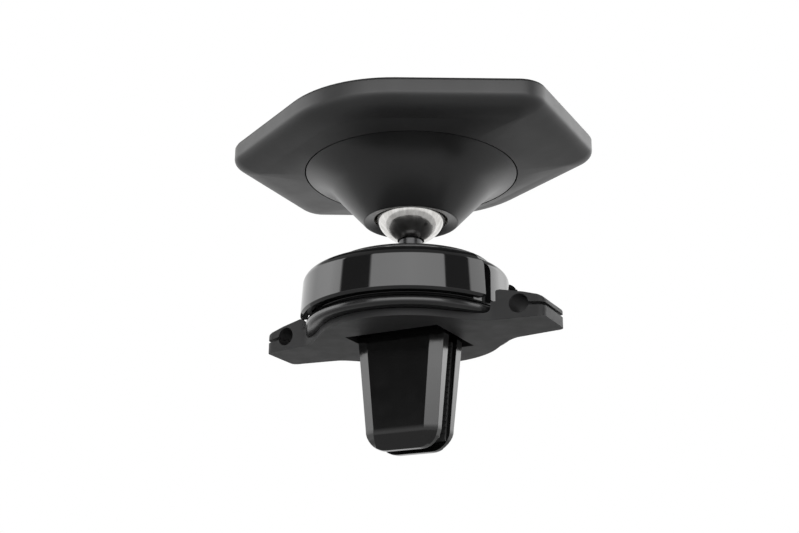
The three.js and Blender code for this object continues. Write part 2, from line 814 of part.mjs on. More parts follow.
function jawPad(side) {
  const back = JAW_INNER_Y - REST_GAP;
  const front = JAW_INNER_Y - 0.75;
  const level = (z, half) => [
    new THREE.Vector3(-half, front, z),
    new THREE.Vector3(half, front, z),
    new THREE.Vector3(half, back, z),
    new THREE.Vector3(-half, back, z),
  ];
  const pad = loft([level(-0.8, 7.9), level(-17, 6.5), level(-18.6, 5.6)], false);
  return side > 0 ? pad : pad.rotateZ(Math.PI);
}

function jawSpring(side) {
  const spring = coil(1.35, 0.25, -1.7, 1.7, 5, 9).rotateY(Math.PI / 2);
  return spring.translate(0, side * JAW_PIVOT.y, JAW_PIVOT.z);
}

// ---------------------------------------------------------------- assembly

const mount = new THREE.Group();

function add(name, geometry, material) {
  const mesh = new THREE.Mesh(closed(geometry), material);
  mesh.name = name;
  mount.add(mesh);
}

add('base_body', baseBody(), BASE_BLACK);
add('bearing_ring', bearingRing(), GLOSS_BLACK);
add('lock_ring', lockRing(), GLOSS_BLACK);
add('cam_sleeve', camSleeve(), NYLON);
add('cap', capDisc(), MATT_BLACK);
add('cap_screw_left', capScrew().translate(-BOSS_X, 0, 0), STEEL);
add('cap_screw_right', capScrew().translate(BOSS_X, 0, 0), STEEL);
add('ball_stud', ballStud(), DARK_STEEL);
add('stud_nut', studNut(), STEEL);
add('release_spring', coil(7.6, 0.4, CARRIAGE_TOP + 0.45, 11.6, 2, 24), SPRING_STEEL);
add('carriage', carriageBody(), NYLON);
for (const [place, side] of [['front', -1], ['rear', 1]]) {
  add(`${place}_drive_pin`, drivePin(side), STEEL);
  add(`${place}_hinge_pin`, hingePinAt(side), STEEL);
  add(`${place}_jaw_spring`, jawSpring(side), SPRING_STEEL);
  add(`${place}_jaw`, jaw(side), GLOSS_BLACK);
  add(`${place}_jaw_pad`, jawPad(side), RUBBER);
}
add('ball', chromeBall(), CHROME);
add('lower_liner', lowerLiner(), NYLON);
add('upper_liner', upperLiner(), NYLON);
add('pressure_cup', pressureCup(), NYLON);
add('disc_spring', discSpring(), SPRING_STEEL);
add('socket_cone', socketCone(), MATT_BLACK);
add('plate_shell', plateShell(), MATT_BLACK);
plateScrewPlaces().forEach((place, i) => add(`plate_screw_${i + 1}`, plateScrew(place), STEEL));
add('yoke_plate', hexSlab(3.7, 9.55, 10.55), STEEL);
add('magnet_tray', magnetTray(), MATT_BLACK);
magnetPlaces().forEach(([x, y], i) => {
  const magnet = rod(MAGNET_RADIUS, BALL_Z + 10.6, BALL_Z + 12.2, FINE);
  add(`magnet_${i + 1}`, magnet.translate(x, y, 0), NICKEL);
});
add('face_pad', facePad(), RUBBER);

export default mount;
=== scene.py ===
import math

import bmesh
import bpy
from mathutils import Matrix, Vector


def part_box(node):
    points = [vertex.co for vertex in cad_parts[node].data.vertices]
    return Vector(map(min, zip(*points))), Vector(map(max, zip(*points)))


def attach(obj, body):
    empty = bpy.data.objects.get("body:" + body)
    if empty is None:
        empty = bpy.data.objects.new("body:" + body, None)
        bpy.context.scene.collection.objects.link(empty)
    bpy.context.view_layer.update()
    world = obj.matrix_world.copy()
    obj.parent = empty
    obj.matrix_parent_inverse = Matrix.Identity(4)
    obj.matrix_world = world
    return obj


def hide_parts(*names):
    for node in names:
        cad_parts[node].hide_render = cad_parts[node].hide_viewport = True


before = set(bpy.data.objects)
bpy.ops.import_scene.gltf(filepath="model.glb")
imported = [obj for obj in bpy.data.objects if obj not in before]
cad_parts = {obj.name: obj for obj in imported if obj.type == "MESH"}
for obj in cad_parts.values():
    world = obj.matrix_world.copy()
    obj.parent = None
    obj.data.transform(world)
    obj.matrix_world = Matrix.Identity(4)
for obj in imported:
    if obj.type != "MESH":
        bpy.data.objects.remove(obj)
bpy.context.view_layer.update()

# A magnetic vent mount, seen from below: a twist-lock clip, a chrome ball joint and a wide
# hexagonal plate. Lengths are in millimetres until a mesh is made; the frame's are in metres.

MM = 0.001
FULL_TURN = 2 * math.pi
SIDES = (1, -1)

# How many sides a round piece has, by how closely its outline is seen.
HIDDEN = 32
COARSE = 48
MEDIUM = 96
FINE = 192
FINEST = 256


def height(node, top=True):
    """The highest or lowest z of a CAD node, in millimetres."""
    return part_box(node)[1 if top else 0].z / MM


def reach(node, axis=0):
    """How far a CAD node runs along +X, or along +Y for axis 1, in millimetres."""
    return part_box(node)[1][axis] / MM


BALL_RADIUS = reach("ball")
BALL_Z = height("ball") - BALL_RADIUS
SEAM_Z = height("plate_shell", top=False)
SEAM_RADIUS = reach("socket_cone")
SHELL_TOP = height("plate_shell")
FACE_TOP = height("face_pad")
PLATE_END = reach("plate_shell")
RING_BOTTOM = height("lock_ring", top=False)
RING_TOP = height("lock_ring")
RING_RADIUS = reach("lock_ring", 1)
CAP_BOTTOM = height("cap", top=False)
CAP_TOP = height("cap")
CAP_RADIUS = reach("cap")
WING_END = reach("base_body")
JAW_TIP_Z = height("front_jaw", top=False)


# ---------------------------------------------------------------- outlines


def rectangle(low, high):
    """A rectangle between two opposite corners."""
    return [low, (high[0], low[1]), high, (low[0], high[1])]


def arc(centre, radius, start, end, steps):
    """Points round a centre, from one angle to another in degrees."""
    points = []
    for step in range(steps + 1):
        angle = math.radians(start + (end - start) * step / steps)
        points.append((centre[0] + radius * math.cos(angle), centre[1] + radius * math.sin(angle)))
    return points


def rounded(corners, steps=6):
    """A closed outline of (x, y, radius) corners, with each corner turned into an arc."""
    points = []
    for i, (x, y, radius) in enumerate(corners):
        here = Vector((x, y))
        if radius == 0:
            points.append((x, y))
            continue
        back = (Vector(corners[i - 1][:2]) - here).normalized()
        ahead = (Vector(corners[(i + 1) % len(corners)][:2]) - here).normalized()
        half = back.angle(ahead) / 2
        centre = here + (back + ahead).normalized() * (radius / math.sin(half))
        first = here + back * (radius / math.tan(half)) - centre
        last = here + ahead * (radius / math.tan(half)) - centre
        start = math.atan2(first.y, first.x)
        sweep = math.atan2(last.y, last.x) - start
        sweep = (sweep + math.pi) % FULL_TURN - math.pi
        points += arc(centre, radius, math.degrees(start), math.degrees(start + sweep), steps)
    return points


def curve(start, control, end, steps):
    """A quadratic curve between two points, with one control point."""
    points = []
    for step in range(steps + 1):
        t = step / steps
        weights = (1 - t) ** 2, 2 * t * (1 - t), t * t
        x, y = (sum(w * p[k] for w, p in zip(weights, (start, control, end))) for k in (0, 1))
        points.append((x, y))
    return points


# ---------------------------------------------------------------- meshes


SHARP_DEG = 32
WELD_DISTANCE_M = 1e-7
ON_AXIS = 1e-6
BROAD_FACE_WEIGHT = 80


def to_object(name, mesh_builder, sharp_angle=SHARP_DEG):
    """Turns a bmesh into an object with smooth faces and sharp creases."""
    bmesh.ops.remove_doubles(mesh_builder, verts=mesh_builder.verts, dist=WELD_DISTANCE_M)
    bmesh.ops.recalc_face_normals(mesh_builder, faces=mesh_builder.faces)
    mesh = bpy.data.meshes.new(name)
    mesh_builder.to_mesh(mesh)
    mesh_builder.free()
    piece = bpy.data.objects.new(name, mesh)
    bpy.context.scene.collection.objects.link(piece)
    smooth(piece, sharp_angle)
    return piece


def smooth(piece, sharp_angle=SHARP_DEG):
    """Shades a piece smoothly, except across its sharp creases."""
    piece.data.polygons.foreach_set("use_smooth", [True] * len(piece.data.polygons))
    piece.data.set_sharp_from_angle(angle=math.radians(sharp_angle))


def skin(mesh_builder, low, high):
    """Faces between two loops of vertices, either of which may be a single point."""
    count = max(len(low), len(high))
    for i in range(count):
        after = (i + 1) % count
        if len(low) == 1:
            corners = [low[0], high[after], high[i]]
        elif len(high) == 1:
            corners = [low[i], low[after], high[0]]
        else:
            corners = [low[i], low[after], high[after], high[i]]
        mesh_builder.faces.new(corners)


def turned(name, profile, segments=FINE, sharp_angle=SHARP_DEG):
    """A solid of revolution about Z. The profile of (radius, z) closes on itself or on the axis."""
    mesh_builder = bmesh.new()
    rings = []
    for radius, z in profile:
        sides = segments if radius > ON_AXIS else 1
        rings.append([
            mesh_builder.verts.new((
                radius * MM * math.cos(FULL_TURN * i / segments),
                radius * MM * math.sin(FULL_TURN * i / segments),
                z * MM,
            ))
            for i in range(sides)
        ])
    for low, high in zip(rings, rings[1:] + rings[:1]):
        if len(low) > 1 or len(high) > 1:
            skin(mesh_builder, low, high)
    return to_object(name, mesh_builder, sharp_angle)


def lofted(name, loops, closed_stack=False, sharp_angle=SHARP_DEG):
    """One skin over loops of equal length, capped at both ends unless the stack closes."""
    mesh_builder = bmesh.new()
    rings = [[mesh_builder.verts.new(Vector(p) * MM) for p in loop] for loop in loops]
    for low, high in zip(rings, rings[1:]):
        skin(mesh_builder, low, high)
    if closed_stack:
        skin(mesh_builder, rings[-1], rings[0])
    else:
        mesh_builder.faces.new(rings[0])
        mesh_builder.faces.new(rings[-1])
    return to_object(name, mesh_builder, sharp_angle)


def prism(name, outline, low, high, axis="z"):
    """An outline pushed along an axis. Along Y the outline is (x, z); along X it is (y, z)."""
    place = {
        "z": lambda a, b, depth: (a, b, depth),
        "y": lambda a, b, depth: (a, depth, b),
        "x": lambda a, b, depth: (depth, a, b),
    }[axis]
    return lofted(name, [[place(a, b, depth) for a, b in outline] for depth in (low, high)])


def rod(name, radius, low, high, axis="z", at=(0, 0), sides=64):
    """A straight round rod along an axis, or a bar with fewer sides."""
    return prism(name, arc(at, radius, 0, 360 - 360 / sides, sides - 1), low, high, axis)


def cut(target, tool):
    """Cuts a piece with a tool, and removes the tool."""
    modifier = target.modifiers.new("cut", "BOOLEAN")
    modifier.operation = "DIFFERENCE"
    modifier.solver = "EXACT"
    modifier.object = tool
    depsgraph = bpy.context.evaluated_depsgraph_get()
    depsgraph.update()
    mesh = bpy.data.meshes.new_from_object(target.evaluated_get(depsgraph))
    target.modifiers.clear()
    target.data = mesh
    bpy.data.objects.remove(tool)
    return target


def evened(piece):
    """Lets broad faces set the shading, so that flat walls look flat."""
    normals = piece.modifiers.new("normals", "WEIGHTED_NORMAL")
    normals.keep_sharp = True
    normals.weight = BROAD_FACE_WEIGHT
    return piece


def softened(piece, width, angle=30, segments=3):
    """Rounds a piece's edges, so that they catch the light."""
    bevel = piece.modifiers.new("edges", "BEVEL")
    bevel.width = width * MM
    bevel.segments = segments
    bevel.limit_method = "ANGLE"
    bevel.angle_limit = math.radians(angle)
    bevel.harden_normals = True
    return piece


def turn_about(piece, side):
    """Pieces are built for one side; for side -1 they are turned half round."""
    if side < 0:
        piece.data.transform(Matrix.Rotation(math.pi, 4, "Z"))
    return piece


def merged(target, *others):
    """Puts other pieces' meshes into one piece, as they stand."""
    mesh_builder = bmesh.new()
    for piece in (target, *others):
        mesh_builder.from_mesh(piece.data)
    mesh_builder.to_mesh(target.data)
    mesh_builder.free()
    for piece in others:
        bpy.data.objects.remove(piece)
    smooth(target)
    return target


# ---------------------------------------------------------------- materials


# Features in a metre of the clouds, smudges and turning marks on a surface.
CLOUDS = 90
SMUDGES = 260
TURNING_MARKS = 900


def new_material(name):
    """A material, its nodes and links, and its main shader."""
    material = bpy.data.materials.new(name)
    material.use_nodes = True
    nodes = material.node_tree.nodes
    return material, nodes, material.node_tree.links, nodes["Principled BSDF"]


def noise(nodes, links, scale, detail=3):
    """Noise in the object's own space; scale is the number of features in a metre."""
    place = nodes.new("ShaderNodeTexCoord")
    texture = nodes.new("ShaderNodeTexNoise")
    texture.inputs["Scale"].default_value = scale
    texture.inputs["Detail"].default_value = detail
    links.new(place.outputs["Object"], texture.inputs["Vector"])
    return texture.outputs["Fac"]


def spread(nodes, links, source, low, high):
    """Noise stretched over a range of values."""
    remap = nodes.new("ShaderNodeMapRange")
    remap.inputs["From Min"].default_value = 0.3
    remap.inputs["From Max"].default_value = 0.7
    remap.inputs["To Min"].default_value = low
    remap.inputs["To Max"].default_value = high
    links.new(source, remap.inputs["Value"])
    return remap.outputs["Result"]


def tinted(nodes, links, shader, source, dark, light):
    """Colours a shader between two tones, by a source from 0 to 1."""
    mix = nodes.new("ShaderNodeMix")
    mix.data_type = "RGBA"
    mix.inputs["A"].default_value = (*dark, 1)
    mix.inputs["B"].default_value = (*light, 1)
    links.new(source, mix.inputs["Factor"])
    links.new(mix.outputs["Result"], shader.inputs["Base Color"])


def bumped(nodes, links, shader, source, depth, strength):
    """Bump from a height, with its depth in millimetres."""
    bump = nodes.new("ShaderNodeBump")
    bump.inputs["Distance"].default_value = depth * MM
    bump.inputs["Strength"].default_value = strength
    links.new(source, bump.inputs["Height"])
    links.new(bump.outputs["Normal"], shader.inputs["Normal"])


def moulded(name, dark, light, roughness, grain=(1500, 0.006, 0.05), metallic=0.0, ior=1.5):
    """Moulded plastic, rubber or metal: a faint cloudy tint, uneven gloss and a fine grain.

    roughness is (lowest, highest) and grain is (features per metre, depth in mm, strength)."""
    material, nodes, links, shader = new_material(name)
    shader.inputs["Metallic"].default_value = metallic
    shader.inputs["IOR"].default_value = ior
    cloud = noise(nodes, links, CLOUDS)
    tinted(nodes, links, shader, spread(nodes, links, cloud, 0, 1), dark, light)
    smudge = noise(nodes, links, SMUDGES, 5)
    links.new(spread(nodes, links, smudge, *roughness), shader.inputs["Roughness"])
    scale, depth, strength = grain
    bumped(nodes, links, shader, noise(nodes, links, scale, 1), depth, strength)
    return material


def brushed(name, dark, light, roughness, grain_along):
    """Metal with fine turning marks; grain_along stretches the noise along one axis."""
    material, nodes, links, shader = new_material(name)
    shader.inputs["Metallic"].default_value = 1
    place = nodes.new("ShaderNodeTexCoord")
    stretch = nodes.new("ShaderNodeMapping")
    stretch.inputs["Scale"].default_value = grain_along
    texture = nodes.new("ShaderNodeTexNoise")
    texture.inputs["Scale"].default_value = TURNING_MARKS
    links.new(place.outputs["Object"], stretch.inputs["Vector"])
    links.new(stretch.outputs["Vector"], texture.inputs["Vector"])
    marks = texture.outputs["Fac"]
    tinted(nodes, links, shader, spread(nodes, links, marks, 0, 1), dark, light)
    links.new(spread(nodes, links, marks, *roughness), shader.inputs["Roughness"])
    bumped(nodes, links, shader, marks, depth=0.01, strength=0.2)
    return material


def grey(value):
    """A neutral tone, very slightly cool."""
    return (value, value, value * 1.02)


PLATE_GREY = moulded("satin_plate_plastic", grey(0.013), grey(0.017), (0.41, 0.46))
CONE_BLACK = moulded("satin_cone_plastic", grey(0.011), grey(0.015), (0.28, 0.31),
                     grain=(700, 0.003, 0.02))
BASE_BLACK = moulded("matt_base_plastic", grey(0.016), grey(0.02), (0.5, 0.58),
                     grain=(3200, 0.015, 0.12), ior=1.3)
CAP_BLACK = moulded("satin_cap_plastic", grey(0.016), grey(0.02), (0.3, 0.38))
RING_BLACK = moulded("piano_black_plastic", grey(0.005), grey(0.007), (0.04, 0.07),
                     grain=(300, 0.003, 0.05))
JAW_BLACK = moulded("polished_jaw_plastic", grey(0.002), grey(0.003), (0.1, 0.16),
                    grain=(420, 0.004, 0.08))
LIP_BLACK = moulded("polished_lip_plastic", grey(0.006), grey(0.009), (0.2, 0.27))
RUBBER = moulded("soft_rubber", grey(0.009), grey(0.011), (0.62, 0.67),
                 grain=(1800, 0.02, 0.2), ior=1.4)
NYLON = moulded("natural_nylon", (0.5, 0.48, 0.42), (0.6, 0.58, 0.52), (0.4, 0.55))
CHROME = brushed("polished_chrome", (0.58, 0.57, 0.55), (0.84, 0.83, 0.81), (0.1, 0.17),
                 (1, 1, 0.12))
NICKEL = moulded("nickel_plate", (0.6, 0.57, 0.52), (0.66, 0.63, 0.58), (0.18, 0.26),
                 metallic=1.0)
STUD_STEEL = brushed("blackened_steel", grey(0.035), grey(0.06), (0.25, 0.38), (1, 1, 6))
ZINC_STEEL = brushed("zinc_plated_steel", grey(0.42), grey(0.52), (0.25, 0.4), (6, 1, 1))
SPRING_STEEL = brushed("spring_steel", grey(0.3), grey(0.42), (0.25, 0.35), (1, 6, 1))


def dress(piece, material, slot, body, *nodes):
    """Gives a new piece its material and body, and hides the CAD nodes that it stands for."""
    piece.data.materials.clear()
    piece.data.materials.append(material)
    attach(piece, body)
    if nodes:
        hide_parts(*nodes)
    return piece


def keep_node(name, material):
    """A CAD node that stays as it is, with a better material."""
    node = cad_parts[name]
    for slot in node.material_slots:
        slot.material = material


# ---------------------------------------------------------------- camera, floor and light

# The camera stands low in front and to the right, and looks up. Angles are in degrees.
CAMERA_PLACE = Vector((104.3, -198.9, -62.9)) * MM
CAMERA_AZIMUTH = 28.2
CAMERA_ELEVATION = -19.0
CAMERA_ROLL = 0.53
CAMERA_LENS = 57.68
CAMERA_NEAR_M = 0.01
CAMERA_FAR_M = 20

SHEET_DROP_M = 0.1
SHEET_RADIUS_M = 0.3
SHEET_TONES = ((0.49, 0.49, 0.49), (0.52, 0.52, 0.52))
SHEET_CLOUDS = 12
SHEET_ROUGHNESS = 0.8


def make_camera():
    """The main camera, turned from its azimuth, elevation and roll."""
    azimuth, elevation = math.radians(CAMERA_AZIMUTH), math.radians(-CAMERA_ELEVATION)
    forward = Vector((
        -math.sin(azimuth) * math.cos(elevation),
        math.cos(azimuth) * math.cos(elevation),
        math.sin(elevation),
    ))
    right = forward.cross(Vector((0, 0, 1))).normalized()
    right = Matrix.Rotation(math.radians(-CAMERA_ROLL), 3, forward) @ right
    up = right.cross(forward)
    data = bpy.data.cameras.new("camera")
    data.lens = CAMERA_LENS
    data.clip_start = CAMERA_NEAR_M
    data.clip_end = CAMERA_FAR_M
    camera = bpy.data.objects.new("camera", data)
    rotation = Matrix((right, up, -forward)).transposed()
    camera.matrix_world = Matrix.Translation(CAMERA_PLACE) @ rotation.to_4x4()
    bpy.context.scene.collection.objects.link(camera)
    bpy.context.scene.camera = camera


def make_floor():
    """A plain pale sheet, well below the part, which hangs from its vent slat."""
    mesh_builder = bmesh.new()
    bmesh.ops.create_circle(mesh_builder, cap_ends=True, segments=128, radius=SHEET_RADIUS_M)
    floor = to_object("floor", mesh_builder)
    floor.location.z = -SHEET_DROP_M
    material, nodes, links, shader = new_material("pale_floor")
    tinted(nodes, links, shader, noise(nodes, links, SHEET_CLOUDS), *SHEET_TONES)
    shader.inputs["Roughness"].default_value = SHEET_ROUGHNESS
    floor.data.materials.append(material)


# Brightness of the studio wall, by bearing from the camera's side: (degrees, brightness). Positive
# is to the right. A wide softbox stands behind the camera, between two dark gaps.
STUDIO_WALL = [
    (-180, 0.8),
    (-120, 1.8),
    (-95, 3.4),
    (-80, 3.4),
    (-78, 0.1),
    (-44, 0.1),
    (-43, 3.6),
    (0, 4.0),
    (35.5, 3.6),
    (36.5, 0.1),
    (64, 0.1),
    (65, 3.0),
    (125, 3.2),
    (145, 1.5),
    (180, 0.6),
]

# The wall runs between two heights in degrees above the horizon. Each edge is blurred by a share
# of the sky's height.
WALL_LOW = 5
WALL_LOW_BLUR = 0.1
WALL_HIGH = 34
WALL_HIGH_BLUR = 0.04
CEILING = 0.35
HORIZON_GLOW = 1.0


def maths(nodes, links, operation, first, second):
    """One sum with two values, each a number or another node's output."""
    node = nodes.new("ShaderNodeMath")
    node.operation = operation
    for socket, value in zip(node.inputs, (first, second)):
        if isinstance(value, (int, float)):
            socket.default_value = value
        else:
            links.new(value, socket)
    return node.outputs[0]


def wall_light(nodes, links, axes):
    """The wall's brightness in every direction round the part."""
    bearing = maths(nodes, links, "ARCTAN2", axes["Y"], axes["X"])
    turn_share = maths(nodes, links, "DIVIDE", bearing, FULL_TURN)
    ramp = nodes.new("ShaderNodeValToRGB")
    links.new(maths(nodes, links, "ADD", turn_share, 0.5), ramp.inputs["Fac"])
    brightest = max(value for _, value in STUDIO_WALL)
    stops = ramp.color_ramp.elements
    while len(stops) < len(STUDIO_WALL):
        stops.new(0.5)
    for stop, (degrees, value) in zip(stops, STUDIO_WALL):
        stop.position = degrees / 360 + 0.5
        stop.color = (value / brightest,) * 3 + (1,)
    return maths(nodes, links, "MULTIPLY", ramp.outputs["Color"], brightest)


def sky_edge(nodes, links, axes, degrees, blur, above):
    """1 above a height over the horizon and 0 below it, or the reverse, with a soft edge."""
    remap = nodes.new("ShaderNodeMapRange")
    middle = math.sin(math.radians(degrees))
    remap.inputs["From Min"].default_value = middle - blur
    remap.inputs["From Max"].default_value = middle + blur
    remap.inputs["To Min"].default_value = 0 if above else 1
    remap.inputs["To Max"].default_value = 1 if above else 0
    links.new(axes["Z"], remap.inputs["Value"])
    return remap.outputs["Result"]


def studio_light(nodes, links, axes):
    """The wall between its two edges, a dim ceiling over it and a glow under it."""
    low = (WALL_LOW, WALL_LOW_BLUR)
    high = (WALL_HIGH, WALL_HIGH_BLUR)
    over_low = sky_edge(nodes, links, axes, *low, above=True)
    under_high = sky_edge(nodes, links, axes, *high, above=False)
    band = maths(nodes, links, "MULTIPLY", over_low, under_high)
    wall = maths(nodes, links, "MULTIPLY", wall_light(nodes, links, axes), band)
    over_high = sky_edge(nodes, links, axes, *high, above=True)
    ceiling = maths(nodes, links, "MULTIPLY", over_high, CEILING)
    under_low = sky_edge(nodes, links, axes, *low, above=False)
    glow = maths(nodes, links, "MULTIPLY", under_low, HORIZON_GLOW)
    return maths(nodes, links, "ADD", maths(nodes, links, "ADD", wall, ceiling), glow)


def make_studio():
    """A round studio wall of soft light, seen as plain white by the camera."""
    world = bpy.data.worlds.new("studio")
    bpy.context.scene.world = world
    world.use_nodes = True
    nodes, links = world.node_tree.nodes, world.node_tree.links

    place = nodes.new("ShaderNodeTexCoord")
    turn = nodes.new("ShaderNodeVectorRotate")
    turn.rotation_type = "Z_AXIS"
    turn.inputs["Angle"].default_value = math.radians(90 - CAMERA_AZIMUTH)
    links.new(place.outputs["Generated"], turn.inputs["Vector"])
    split = nodes.new("ShaderNodeSeparateXYZ")
    links.new(turn.outputs["Vector"], split.inputs["Vector"])
    lit = studio_light(nodes, links, split.outputs)

    seen = nodes.new("ShaderNodeLightPath")
    soft = nodes["Background"]
    links.new(lit, soft.inputs["Strength"])
    white = nodes.new("ShaderNodeBackground")
    pick = nodes.new("ShaderNodeMixShader")
    links.new(seen.outputs["Is Camera Ray"], pick.inputs["Fac"])
    links.new(soft.outputs["Background"], pick.inputs[1])
    links.new(white.outputs["Background"], pick.inputs[2])
    links.new(pick.outputs["Shader"], nodes["World Output"].inputs["Surface"])
    soft.inputs["Color"].default_value = (1, 1, 1, 1)
    white.inputs["Color"].default_value = (1, 1, 1, 1)
    bpy.context.scene.view_settings.view_transform = "Standard"


# ---------------------------------------------------------------- base body

# The body is cut from a block by tools that reach past its top, its ends and its sides. The jaws
# come out through the window in its floor.
BLOCK_TOP = 7
PAST_TOP = 9
PAST_END = 30
PAST_SIDE = 10
FLOOR_RADIUS = 16.7
FLOOR_HEIGHT = 1.3
WINDOW_HALF = (9.2, 7.6)

# The room for the bearing ring, and above it a wider one for the twist ring to turn in.
LIP_ROOM = 19.6
RING_ROOM = RING_RADIUS + 0.3
ROOM_STEP_Z = RING_BOTTOM - 0.25
ROOM_STEP_ROUND = 0.15
ROOM_FILLET = 1.0

# A wing has a rounded end, swells into the floor along a curve, and its top slopes to its end.
WING_END_HALF = 4.9
WING_END_FLAT = 3.6
WING_END_ROUND = 1.6
WING_SWELL = ((19, 5.9), (17, 6.15))
WING_ROOT_DEG = 42
WING_TOP = [
    (19.3, 4.6), (19.42, 5.05), (19.75, 5.32), (20.3, 5.4),
    (24.4, 4.6), (26.9, 3.9), (27.7, 3.5), (28.1, 2.9),
]

# A cable is held in the round hole of a wing, and goes in through the slit from the wing's end.
CLIP_X = 23.6
CLIP_Z = 2.6
CLIP_RADIUS = 1.7
SLIT_HALF = 0.28
SLIT_SLOPE_DEG = 5

# The core tube, and the posts that the cap's screws go into.
CORE_BORE = 12.1
CORE_RADIUS = 13.2
CORE_FOOT = 0.5
CORE_TOP = RING_TOP - 0.05
SCREW_X = 10.9
POST_RADIUS = 1.35


def base_plan():
    """Plan of the floor and both wings, from one quarter mirrored."""
    corner = (WING_END, WING_END_HALF)
    after_corner = (WING_END - WING_END_ROUND, WING_END_HALF)
    quarter = curve((WING_END, WING_END_FLAT), corner, after_corner, steps=8)
    root = arc((0, 0), FLOOR_RADIUS, WING_ROOT_DEG, 90, steps=24)
    quarter += curve(*WING_SWELL, root[0], steps=10)
    quarter += root[1:]
    half = quarter + [(-x, y) for x, y in reversed(quarter[:-1])]
    return half + [(x, -y) for x, y in reversed(half)]


def ring_room():
    """The stepped round space above the floor."""
    return turned("ring_room", rounded([
        (0, FLOOR_HEIGHT, 0),
        (LIP_ROOM, FLOOR_HEIGHT, ROOM_FILLET),
        (LIP_ROOM, ROOM_STEP_Z, ROOM_STEP_ROUND),
        (RING_ROOM, ROOM_STEP_Z, 0),
        (RING_ROOM, PAST_TOP, 0),
        (0, PAST_TOP, 0),
    ], steps=10), segments=160)


def above_wing(side):
    """The space above a wing."""
    start, end_height = WING_TOP[0][0], WING_TOP[-1][1]
    outline = WING_TOP + [(PAST_END, end_height), (PAST_END, PAST_TOP), (start, PAST_TOP)]
    return prism("above_wing", [(side * x, z) for x, z in outline], -PAST_SIDE, PAST_SIDE, "y")


def clip_slit(side):
    """The slit from a wing's cable hole out through its end."""
    length = WING_END - CLIP_X + 1
    drop = length * math.tan(math.radians(SLIT_SLOPE_DEG))
    corners = [
        (0, -SLIT_HALF), (length, -SLIT_HALF - drop), (length, SLIT_HALF - drop), (0, SLIT_HALF),
    ]
    outline = [(side * (CLIP_X + x), CLIP_Z + z) for x, z in corners]
    return prism("clip_slit", outline, -PAST_SIDE, PAST_SIDE, "y")


def base_body():
    """The floor, its wings with their cable clips, the core tube and the cap's two posts."""
    body = prism("base_body", base_plan(), 0, BLOCK_TOP)
    cut(body, ring_room())
    for side in SIDES:
        hole_at = (side * CLIP_X, CLIP_Z)
        cut(body, above_wing(side))
        cut(body, rod("clip_hole", CLIP_RADIUS, -PAST_SIDE, PAST_SIDE, "y", hole_at, COARSE))
        cut(body, clip_slit(side))
    long_half, wide_half = WINDOW_HALF
    window = rectangle((-long_half, -wide_half), WINDOW_HALF)
    cut(body, prism("window", window, -1, FLOOR_HEIGHT + 1))
    core = turned("core", rectangle((CORE_BORE, CORE_FOOT), (CORE_RADIUS, CORE_TOP)), MEDIUM)
    posts = [
        rod("post", POST_RADIUS, CORE_FOOT, CORE_TOP, at=(side * SCREW_X, 0), sides=HIDDEN)
        for side in SIDES
    ]
    merged(body, core, *posts)
    softened(body, width=0.18, angle=40)
    return dress(body, BASE_BLACK, "base_black", "base", "base_body")


LIP_BORE = 14.9
LIP_RADIUS = 19.1
LIP_BOTTOM = FLOOR_HEIGHT + 0.05
LIP_TOP = RING_BOTTOM - 0.6
COLLAR_FOOT = 18.95
COLLAR_HEAD = 18.45
COLLAR_TOP = RING_BOTTOM - 0.1


def bearing_ring():
    """The rounded lip under the twist ring, with a sloping collar that nearly reaches it."""
    profile = rounded([
        (LIP_BORE, LIP_BOTTOM, 0),
        (LIP_RADIUS, LIP_BOTTOM, 0.75),
        (LIP_RADIUS, LIP_TOP, 0.7),
        (COLLAR_FOOT, LIP_TOP, 0),
        (COLLAR_HEAD, COLLAR_TOP, 0),
        (LIP_BORE, COLLAR_TOP, 0),
    ], steps=8)
    return dress(turned("bearing_ring", profile), LIP_BLACK, "ring_black", "base", "bearing_ring")


# ---------------------------------------------------------------- jaws

# A jaw's cross-section at its root and at its end: half its width, half its flat face, and how
# far out its shoulders and its face stand.
JAW_ROOT = (8.7, 6.45, 3.75, 4.8)
JAW_END = (7.2, 5.05, 3.15, 4.25)
JAW_BACK = 1.65
JAW_TOP_Z = 3.2
JAW_CORNER_Z = -16.4

# Its tip is rounded, and gets thinner over its last part.
TIP_STEP_DEG = 10
TIP_FLAT_MARGIN = 0.2
TIP_THINS_AFTER = 1.0
SHOULDER_THINNING = 0.28
FACE_THINNING = 0.5

# The neck above the blade, and the room in it for the jaw's spring.
NECK_HALF = 6.6
NECK_BACK = 1.75
NECK_FRONT = 4.7
NECK_Z = (3, 6.5)
SPRING_ROOM_HALF = 2.4
SPRING_ROOM_DEPTH = 6
SPRING_ROOM_Z = (3.2, 8)


def jaw_level(z, half, flat, shoulder, face):
    """A jaw's outline at one height: a rectangle with its two outer corners cut off."""
    return [
        (-half, JAW_BACK, z), (half, JAW_BACK, z), (half, shoulder, z),
        (flat, face, z), (-flat, face, z), (-half, shoulder, z),
    ]


def jaw_tip_levels():
    """The levels of a jaw's rounded tip."""
    half, flat, shoulder, face = JAW_END
    radius = JAW_CORNER_Z - JAW_TIP_Z
    levels = []
    for degrees in range(TIP_STEP_DEG, 91, TIP_STEP_DEG):
        drop = radius * math.sin(math.radians(degrees))
        pull = radius * (1 - math.cos(math.radians(degrees)))
        thin = max(0, drop - TIP_THINS_AFTER)
        levels.append(jaw_level(
            JAW_CORNER_Z - drop,
            half - pull,
            min(flat, half - TIP_FLAT_MARGIN - pull),
            shoulder - SHOULDER_THINNING * thin,
            face - FACE_THINNING * thin,
        ))
    return levels


